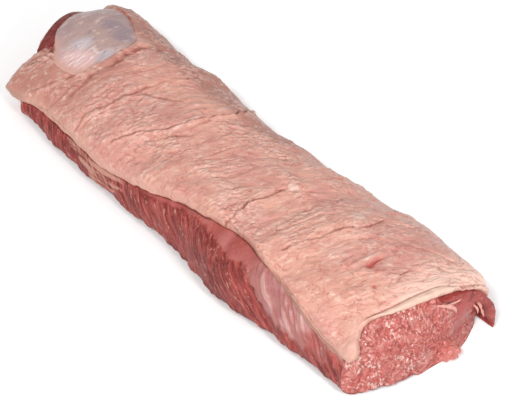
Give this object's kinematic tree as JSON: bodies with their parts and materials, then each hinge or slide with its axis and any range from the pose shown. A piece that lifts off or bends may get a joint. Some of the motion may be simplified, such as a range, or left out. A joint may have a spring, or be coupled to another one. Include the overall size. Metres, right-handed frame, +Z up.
{
  "type": "beef striploin",
  "caption": "Whole raw boneless beef loin muscle with its fat cap, lying fat side up, with a rounded silver-skinned far end and a fresh slanting near cut.",
  "frame": {"origin": "middle of the whole piece's box at the table, under the loin", "axes": "+X along the loin towards the near cut, +Y across towards the flank side, +Z up from the table through the fat cap"},
  "size_m": [0.569, 0.1826, 0.0784],
  "materials": {
    "lean": "raw beef lean, moist, fine lengthways fibres on the side and an open wet grain on the cut",
    "fat": "raw beef fat, pinkish cream, waxy with fine wrinkles",
    "side_muscle": "raw thin muscle, moist, dark red with a pale edge",
    "silver_skin": "silver skin, thin grey-lilac membrane with a wet sheen"
  },
  "bodies": {
    "root": {"eye_of_loin": "lean", "fat_cap": "fat", "strap_muscle": "side_muscle", "silver_skin": "silver_skin"}
  },
  "joints": []
}
